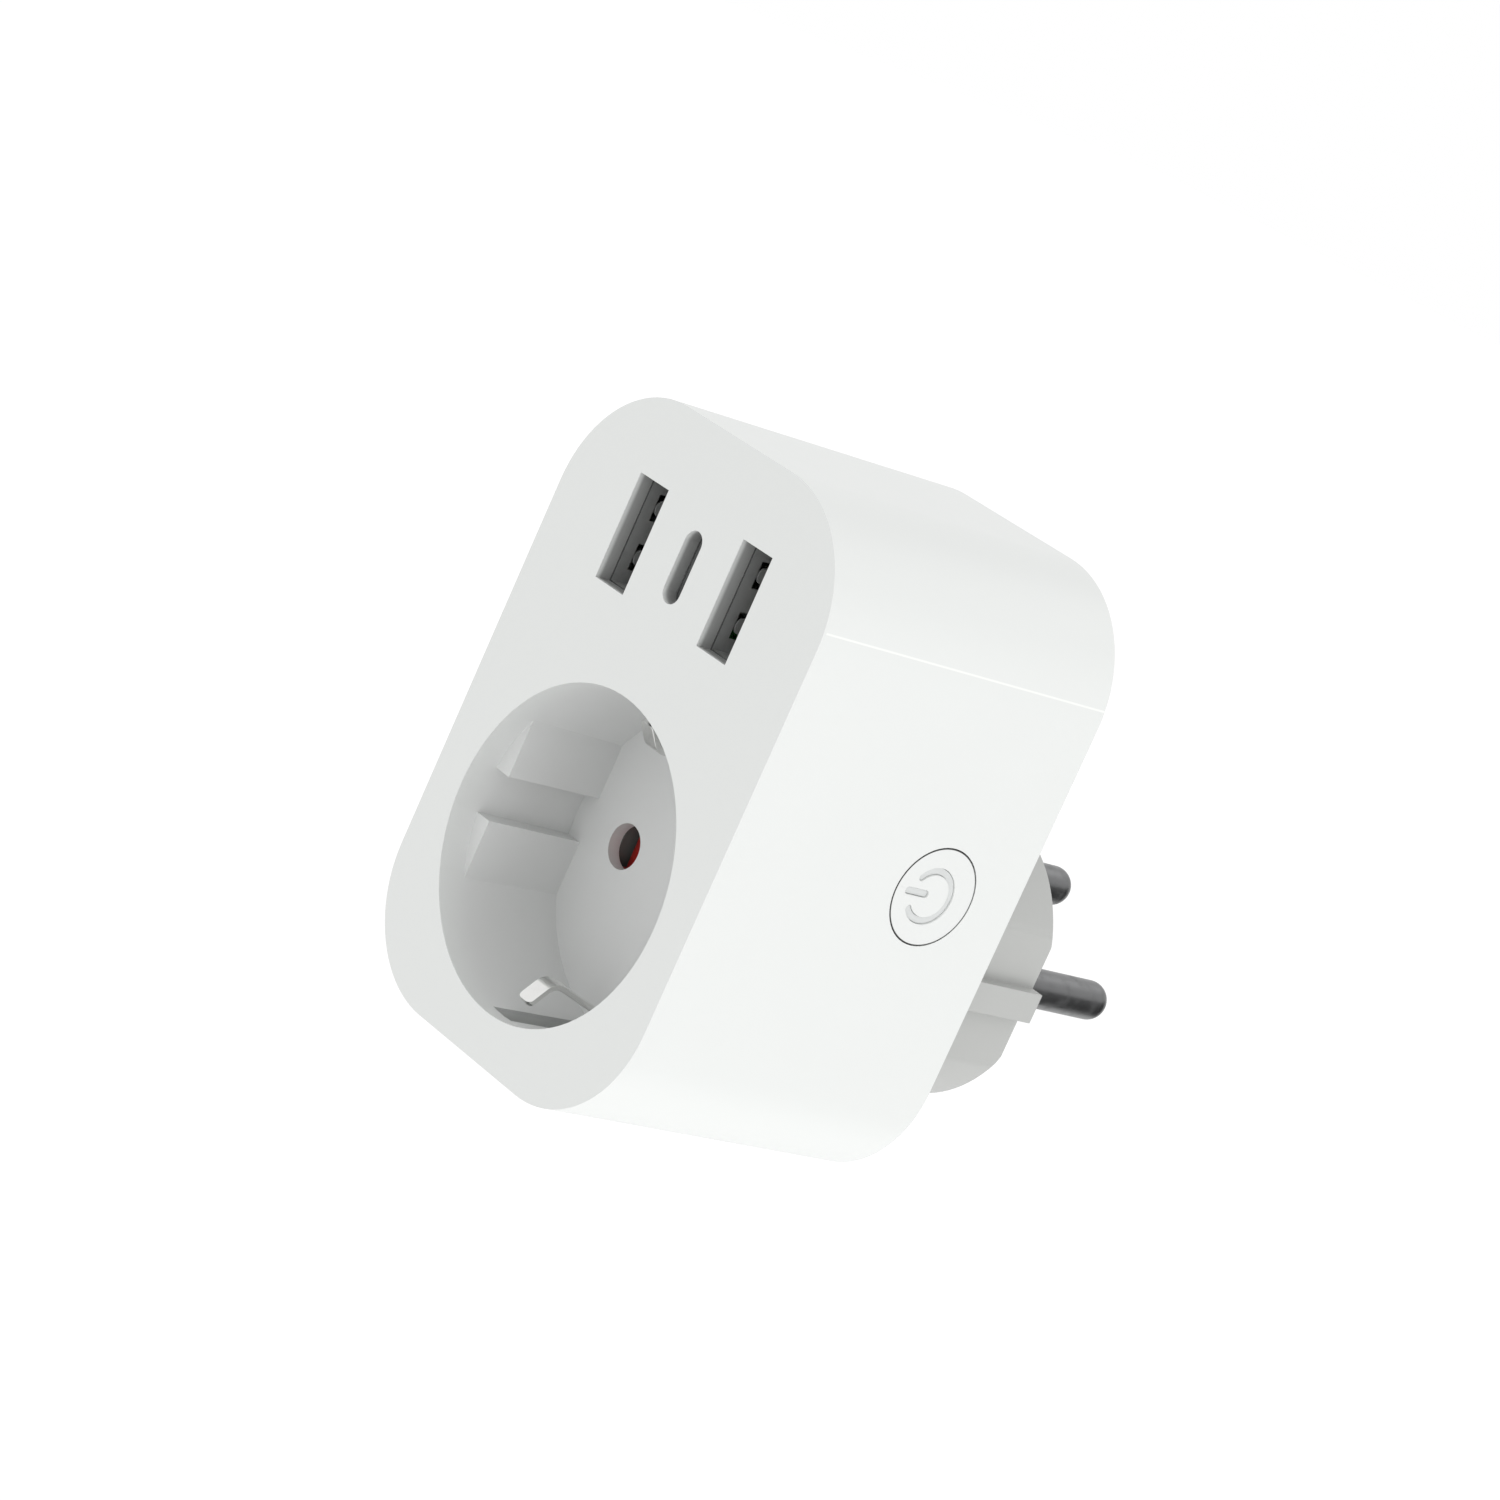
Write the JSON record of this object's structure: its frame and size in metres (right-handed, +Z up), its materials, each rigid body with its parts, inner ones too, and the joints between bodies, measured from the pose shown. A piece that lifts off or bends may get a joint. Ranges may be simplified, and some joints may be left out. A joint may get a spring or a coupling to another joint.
{
  "type": "smart plug",
  "caption": "Wall-plug adapter: recessed round earthed socket with safety shutter, USB-A and USB-C ports, sprung side power button, pins at the back.",
  "frame": {"origin": "centre of the plug's pin face, on the line between the two mains pins", "axes": "+Y the way the pins point, into the wall; +Z up, from the socket towards the ports; +X the side with the power button"},
  "size_m": [0.0498, 0.0817, 0.0758],
  "materials": {
    "housing_white": "smooth satin moulding",
    "housing_grey": "fine matt moulding",
    "pin_metal": "nickel plated, dull",
    "screw_steel": "zinc plated",
    "carrier_black": "glass filled, matt",
    "contact_bronze": "rolled strip",
    "earth_metal": "bright rolled strip",
    "shutter_red": "smooth",
    "spring_steel": "drawn wire and sheet",
    "button_plastic": "smooth satin moulding",
    "light_guide": "translucent, frosted",
    "board_green": "solder mask",
    "radio_board_blue": "solder mask",
    "led_yellow": "clear resin over phosphor",
    "port_steel": "nickel plated sheet",
    "port_black": "moulded",
    "contact_gold": "gold flash",
    "relay_blue": "moulded case",
    "ferrite": "sintered",
    "winding_tape": "polyester tape",
    "capacitor_sleeve": "shrink sleeve",
    "capacitor_green": "shrink sleeve",
    "fuse_ceramic": "glazed tube",
    "varistor_blue": "dipped epoxy",
    "shield_tin": "tinned sheet"
  },
  "bodies": {
    "housing": {"front_shell": "housing_white", "rear_cover": "housing_grey", "cover_screws": "screw_steel", "live_pin": "pin_metal", "neutral_pin": "pin_metal", "earth_pin": "pin_metal", "pin_carrier": "carrier_black", "small_screws": "screw_steel", "contact_carrier": "carrier_black", "live_contact": "contact_bronze", "neutral_contact": "contact_bronze", "earth_bow": "earth_metal", "shutter_spring": "spring_steel", "switch_body": "port_black", "switch_dome": "spring_steel", "switch_board": "board_green", "status_led": "led_yellow", "main_board": "board_green", "port_board": "board_green", "board_header": "port_black", "usb_a_shell_left": "port_steel", "usb_a_shell_right": "port_steel", "usb_a_tongue_left": "port_black", "usb_a_tongue_right": "port_black", "usb_a_contacts_left": "contact_gold", "usb_a_contacts_right": "contact_gold", "usb_c_shell": "port_steel", "usb_c_tongue": "port_black", "usb_c_contacts": "contact_gold", "relay": "relay_blue", "transformer_core": "ferrite", "transformer_winding": "winding_tape", "mains_capacitors": "capacitor_sleeve", "output_capacitors": "capacitor_green", "rectifier": "port_black", "fuse": "fuse_ceramic", "varistor": "varistor_blue", "radio_board": "radio_board_blue", "radio_shield": "shield_tin"},
    "button": {"power_button": "button_plastic", "symbol_light_guide": "light_guide", "switch_plunger": "carrier_black"},
    "shutter": {"shutter": "shutter_red"}
  },
  "joints": [
    {"name": "button_press", "type": "slide", "parent": "housing", "child": "button", "axis": [-1, 0, 0], "range_m": [0, 0.0005], "stiffness_N_per_m": 3000, "springref_m": -0.0002, "deforming": ["switch_dome"]},
    {"name": "shutter_slide", "type": "slide", "parent": "housing", "child": "shutter", "axis": [1, 0, 0], "range_m": [0, 0.0048], "stiffness_N_per_m": 150, "springref_m": -0.002, "deforming": ["shutter_spring"]}
  ]
}
